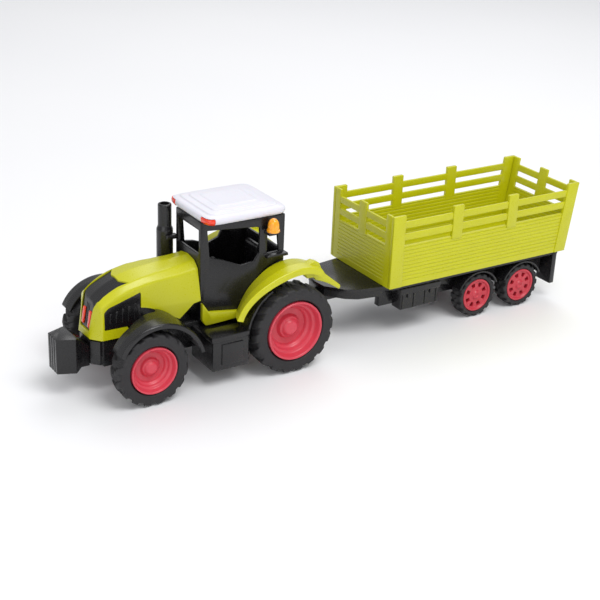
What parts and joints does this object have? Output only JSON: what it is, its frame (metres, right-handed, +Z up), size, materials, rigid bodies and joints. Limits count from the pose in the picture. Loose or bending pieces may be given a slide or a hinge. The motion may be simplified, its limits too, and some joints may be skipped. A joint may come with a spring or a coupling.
{
  "type": "toy tractor",
  "caption": "Toy farm tractor with cab, hood and front weight, towing a stake-sided two-axle trailer on a pivoting hitch, with turning wheels and a friction motor.",
  "frame": {"origin": "on the ground, under the middle of the whole toy's bounding box", "axes": "+Z up, the tractor's nose points to -Y and the trailer's tail to +Y, +X is the driver's left-hand side"},
  "size_m": [0.096, 0.41, 0.1149],
  "materials": {
    "lime_plastic": "injection-moulded lime-green plastic, semi-gloss",
    "black_plastic": "injection-moulded black plastic, semi-gloss",
    "white_plastic": "injection-moulded white plastic, semi-gloss",
    "coral_plastic": "injection-moulded coral-red plastic, satin",
    "red_plastic": "injection-moulded red plastic, satin",
    "soft_tyre": "soft black moulded tyre, matt with worn lug tops",
    "red_lens": "orange-red plastic lens, glossy",
    "amber_lens": "amber plastic dome, glossy",
    "nylon": "natural nylon, satin",
    "steel": "plated steel, drawn"
  },
  "bodies": {
    "tractor": {"chassis": "black_plastic", "front_weight": "black_plastic", "front_mudguard_left": "black_plastic", "front_mudguard_right": "black_plastic", "side_step_left": "black_plastic", "side_step_right": "black_plastic", "hood": "lime_plastic", "grille": "black_plastic", "headlight_left": "red_lens", "headlight_right": "red_lens", "hood_panel_left": "black_plastic", "hood_panel_right": "black_plastic", "rear_fender_left": "lime_plastic", "rear_fender_right": "lime_plastic", "cab_frame": "black_plastic", "cab_interior": "black_plastic", "seat": "black_plastic", "steering_wheel": "black_plastic", "roof": "white_plastic", "roof_light_left": "red_lens", "roof_light_right": "red_lens", "beacon": "amber_lens", "exhaust_stack": "black_plastic", "motor_case": "nylon", "hitch_pin": "black_plastic", "chassis_screw_front": "steel", "chassis_screw_middle": "steel"},
    "front_wheels": {"front_axle": "steel", "front_rim_left": "coral_plastic", "front_rim_right": "coral_plastic", "front_tyre_left": "soft_tyre", "front_tyre_right": "soft_tyre"},
    "rear_wheels": {"rear_axle": "steel", "rear_rim_left": "coral_plastic", "rear_rim_right": "coral_plastic", "rear_tyre_left": "soft_tyre", "rear_tyre_right": "soft_tyre", "drive_gear": "nylon"},
    "idler": {"idler_gear": "nylon"},
    "flywheel": {"flywheel": "steel"},
    "trailer": {"trailer_chassis": "black_plastic", "bed_floor": "lime_plastic", "headboard": "lime_plastic", "tailgate": "lime_plastic", "side_board_left": "lime_plastic", "side_board_right": "lime_plastic", "tool_box_left": "black_plastic", "tool_box_right": "black_plastic"},
    "trailer_front_wheels": {"trailer_front_axle": "steel", "trailer_front_rim_left": "red_plastic", "trailer_front_rim_right": "red_plastic", "trailer_front_tyre_left": "soft_tyre", "trailer_front_tyre_right": "soft_tyre"},
    "trailer_rear_wheels": {"trailer_rear_axle": "steel", "trailer_rear_rim_left": "red_plastic", "trailer_rear_rim_right": "red_plastic", "trailer_rear_tyre_left": "soft_tyre", "trailer_rear_tyre_right": "soft_tyre"}
  },
  "joints": [
    {"name": "front_wheel_spin", "type": "hinge", "parent": "tractor", "child": "front_wheels", "pos_m": [0, -0.1554, 0.02494], "axis": [1, 0, 0], "continuous": true},
    {"name": "rear_wheel_spin", "type": "hinge", "parent": "tractor", "child": "rear_wheels", "pos_m": [0, -0.052, 0.03094], "axis": [1, 0, 0], "continuous": true},
    {"name": "idler_spin", "type": "hinge", "parent": "tractor", "child": "idler", "pos_m": [0, -0.064, 0.03094], "axis": [1, 0, 0], "continuous": true},
    {"name": "flywheel_spin", "type": "hinge", "parent": "tractor", "child": "flywheel", "pos_m": [0, -0.076, 0.03094], "axis": [1, 0, 0], "continuous": true},
    {"name": "trailer_yaw", "type": "hinge", "parent": "tractor", "child": "trailer", "pos_m": [0, -0.022, 0.02994], "axis": [0, 0, 1], "range_deg": [-40, 40]},
    {"name": "trailer_front_wheel_spin", "type": "hinge", "parent": "trailer", "child": "trailer_front_wheels", "pos_m": [0, 0.118, 0.01696], "axis": [1, 0, 0], "continuous": true},
    {"name": "trailer_rear_wheel_spin", "type": "hinge", "parent": "trailer", "child": "trailer_rear_wheels", "pos_m": [0, 0.1606, 0.01696], "axis": [1, 0, 0], "continuous": true}
  ],
  "couplings": [
    {"joint": "idler_spin", "follows": "rear_wheel_spin", "ratio": -2},
    {"joint": "flywheel_spin", "follows": "rear_wheel_spin", "ratio": 4}
  ]
}
